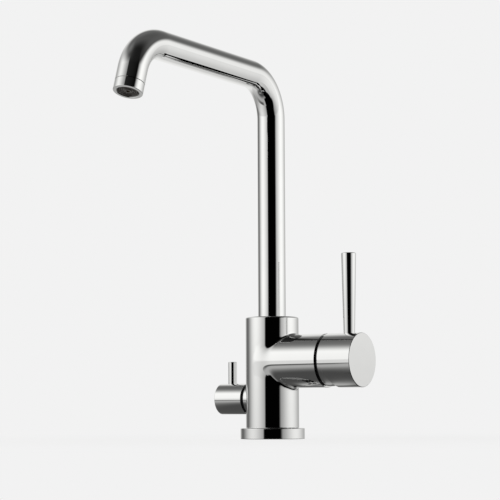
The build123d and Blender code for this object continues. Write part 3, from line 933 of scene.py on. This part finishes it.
# ---------------------------------------------------------------------------
# aerator housing and face
# ---------------------------------------------------------------------------
AXIS_OUT = Frame3(MOUTH, OUT, (1, 0, 0))
segs = outline((8.6, -16.0), (10.3, -16.0), (10.3, -8.45), (12.32, -8.45), (12.5, -8.27), (12.5, -0.5),
               bend((12.0, -0.5), 0.5, 0, 90, 6), (9.75, 0.0), (9.35, -0.4), (9.35, -2.6), (8.6, -2.6), (8.6, -16.0))
ob = turned("aerator_housing_shell", AXIS_OUT, segs, 200)
shade(ob, profile_surfaces(AXIS_OUT, segs))
finish_piece(ob, "spout", "chrome", "chrome", "aerator_housing")

# the face: a moulded disc with ring channels crossed by fine ribs
chain = [(2.62, -15.8), (8.5, -15.8), (8.5, -2.6), (9.25, -2.6), (9.25, -1.62), (9.1, -1.5)]
for ro, ri in ((8.35, 7.45), (6.85, 5.95), (5.35, 4.45)):
    chain += [(ro, -1.5), (ro - 0.08, -3.1), (ri + 0.08, -3.1), (ri, -1.5)]
# a collar of the same moulding closes over the end of the filtered water nozzle
chain += [(3.2, -1.5), (3.2, -0.85), (3.05, -0.7), (1.75, -0.7), (1.62, -0.97), (2.62, -0.97), (2.62, -15.8)]
segs = outline(*chain)
ob = turned("aerator_face", AXIS_OUT, segs, 192)
bmv = bmesh.new()
bmv.from_mesh(ob.data)
for ro, ri, count in ((8.35, 7.45, 48), (6.85, 5.95, 40), (5.35, 4.45, 30)):
    for k in range(count):
        a0 = 2 * math.pi * k / count
        half = 0.17
        mid = []
        for u in (ri + 0.0, ro - 0.0):
            for side_ in (-1, 1):
                for s_ in (-3.15, -1.72):
                    a = a0 + side_ * half / u
                    mid.append(bmv.verts.new(Vector(AXIS_OUT.put(np.array([u]), np.array([a]), np.array([s_]))[0] * MM)))
        v = mid
        for q in ((0, 1, 3, 2), (4, 6, 7, 5), (0, 4, 5, 1), (2, 3, 7, 6), (1, 5, 7, 3), (0, 2, 6, 4)):
            bmv.faces.new([v[i] for i in q])
bmesh.ops.recalc_face_normals(bmv, faces=bmv.faces[:])
bmv.to_mesh(ob.data)
bmv.free()
shade(ob, profile_surfaces(AXIS_OUT, segs))
finish_piece(ob, "spout", "grey_plastic", "grey_plastic", "aerator_insert")

# ---------------------------------------------------------------------------
# mixer handle: cap with the oblique relief, lever
# ---------------------------------------------------------------------------
CAP_REAR, CAP_END, RELIEF_X = 60.85, 93.6, 61.4
SLOPE = math.tan(math.radians(24.2))
cap_segs = outline((23.3, CAP_REAR), (23.85, CAP_REAR), (24.0, CAP_REAR + 0.15),
                   straight((24.0, CAP_REAR + 0.15), (24.0, CAP_END - 0.6), 12),
                   bend((23.4, CAP_END - 0.6), 0.6, 0, 90, 8),
                   straight((23.4, CAP_END), (0.0, CAP_END), 4))
cap_in = outline((0.0, 89.6), (22.0, 89.6), (22.0, 75.5), (23.3, 75.5), straight((23.3, 75.5), (23.3, CAP_REAR), 6))


def cap_warp(p, ang_, q):
    """Slides the rear of the wall forward, so that it ends on the oblique relief."""
    x, z = p[:, 0], p[:, 2]
    first = np.maximum(CAP_REAR, RELIEF_X + SLOPE * (ARM_Z - 1.0 - z))
    keep = 78.0
    t = (keep - x) / (keep - CAP_REAR)
    out_ = p.copy()
    m = x < keep
    out_[m, 0] = keep - t[m] * (keep - first[m])
    return out_


cap_ob = turned("handle_cap_shell", AXIS_ARM, cap_in + cap_segs, 240, cap_warp)
AXIS_PLUG = Frame3((80.4, 0, ARM_Z), (0, 1, 0), (0, 0, 1))
plug_segs = outline((0.0, 20.55), (2.5, 20.55), (2.5, 23.75), (2.8, 24.1), (2.8, 26.0), (0.0, 26.0))
cut(cap_ob, turned("plug_hole", AXIS_PLUG, plug_segs, 64))


def cap_round(r, sign):
    def f(p):
        ra = np.hypot(p[:, 1], p[:, 2] - ARM_Z)
        n = np.stack([np.zeros(len(p)), p[:, 1], p[:, 2] - ARM_Z], 1) / np.maximum(ra, 1e-9)[:, None]
        return ra - r, sign * n
    return f


shade(cap_ob, [cap_round(24.0, 1.0), cap_round(23.3, -1.0), cap_round(22.0, -1.0)]
      + profile_surfaces(AXIS_ARM, cap_segs[-3:]) + hollow(profile_surfaces(AXIS_PLUG, plug_segs)))
finish_piece(cap_ob, "mixer_handle", "chrome", "chrome", "handle_cap")

LEVER_X, LEVER_TOP, R_TOP, R_FOOT = 80.4, 164.0, 6.6, 5.0
AXIS_LEVER = Frame3((LEVER_X, 0, 0), (0, 0, 1), (1, 0, 0))
FOOT_Z = ARM_Z + 21.0
lever_segs = outline((0.0, ARM_Z + 20.6), (R_FOOT, ARM_Z + 20.6), straight((R_FOOT, FOOT_Z), (R_TOP, LEVER_TOP - 0.7), 24),
                     bend((R_TOP - 0.7, LEVER_TOP - 0.7), 0.7, 0, 90, 8), (0.0, LEVER_TOP))


def lever_warp(p, ang_, q):
    """The foot is saddled onto the round cap."""
    seat = ARM_Z + np.sqrt(24.0 ** 2 - p[:, 1] ** 2) - 0.04
    out_ = p.copy()
    if abs(q[1] - FOOT_Z) < 1e-6 or q[1] < FOOT_Z:
        out_[:, 2] = seat if abs(q[1] - FOOT_Z) < 1e-6 else seat - 0.4
    return out_


lever_ob = turned("lever_rod_shell", AXIS_LEVER, lever_segs, 128, lever_warp)
cone_n = unit((LEVER_TOP - 0.7 - FOOT_Z, -(R_TOP - R_FOOT)))


def lever_side(p):
    u, s, rad = AXIS_LEVER.split(p)
    d = np.where((u > 4.7) & (s > ARM_Z + 21.8) & (s < LEVER_TOP - 0.69), 0.0, 9.0)
    return d, cone_n[0] * rad + cone_n[1] * AXIS_LEVER.w


shade(lever_ob, profile_surfaces(AXIS_LEVER, lever_segs[-2:]) + [lever_side])
finish_piece(lever_ob, "mixer_handle", "chrome", "chrome", "lever_rod")

# domed trim ring that the cap tilts over
PIVOT_X = 61.4


def ang_at(x, r):
    """angle on the sphere, in the (radius, axis) profile plane"""
    return math.degrees(math.asin((x - PIVOT_X) / r))


dome_segs = outline((19.95, 56.9), (19.95, 60.5), bend((0.0, PIVOT_X), 23.0, ang_at(60.5, 23.0), ang_at(73.4, 23.0), 24),
                    bend((0.0, PIVOT_X), 21.4, ang_at(73.4, 21.4), ang_at(62.4, 21.4), 16), (18.4, 62.4), (18.4, 56.9), (19.95, 56.9))
dome_ob = turned("dome_trim_shell", AXIS_ARM, dome_segs, 240)
shade(dome_ob, profile_surfaces(AXIS_ARM, dome_segs))
finish_piece(dome_ob, "body", "chrome", "chrome", "dome_trim_ring")

# ---------------------------------------------------------------------------
# filter knob and its pin
# ---------------------------------------------------------------------------
KNOB_REAR, KNOB_END, KNOB_R, PIN_X, PIN_R, PIN_TOP = 25.65, 54.2, 14.0, -43.0, 3.9, 69.8
knob_segs = outline((12.0, KNOB_REAR), (13.8, KNOB_REAR), (14.0, KNOB_REAR + 0.2),
                    straight((14.0, KNOB_REAR + 0.2), (14.0, KNOB_END - 0.6), 8),
                    bend((13.4, KNOB_END - 0.6), 0.6, 0, 90, 8), straight((13.4, KNOB_END), (0.0, KNOB_END), 3))
knob_in = outline((0.0, 51.0), (12.0, 51.0), (12.0, KNOB_REAR))
knob_ob = turned("filter_knob_shell", AXIS_KNOB, knob_in + knob_segs, 200)
shade(knob_ob, profile_surfaces(AXIS_KNOB, knob_in + knob_segs))
finish_piece(knob_ob, "filter_handle", "chrome", "chrome", "filter_knob")

AXIS_PIN = Frame3((PIN_X, 0, 0), (0, 0, 1), (1, 0, 0))
pin_foot = KNOB_Z + 13.0
pin_segs = outline((0.0, pin_foot - 0.5), (PIN_R, pin_foot - 0.5), straight((PIN_R, pin_foot), (PIN_R, PIN_TOP - 0.5), 10),
                   bend((PIN_R - 0.5, PIN_TOP - 0.5), 0.5, 0, 90, 8), (0.0, PIN_TOP))


def pin_warp(p, ang_, q):
    seat = KNOB_Z + np.sqrt(KNOB_R ** 2 - p[:, 1] ** 2) - 0.04
    out_ = p.copy()
    if abs(q[1] - pin_foot) < 1e-6:
        out_[:, 2] = seat
    elif q[1] < pin_foot:
        out_[:, 2] = seat - 0.4
    return out_


pin_ob = turned("knob_pin_shell", AXIS_PIN, pin_segs, 96, pin_warp)


def pin_side(p):
    u, s, rad = AXIS_PIN.split(p)
    return np.where((np.abs(u - PIN_R) < 0.004) & (s > 49.0) & (s < PIN_TOP - 0.49), 0.0, 9.0), rad


shade(pin_ob, profile_surfaces(AXIS_PIN, pin_segs[-2:]) + [pin_side])
finish_piece(pin_ob, "filter_handle", "chrome", "chrome", "filter_knob_pin")
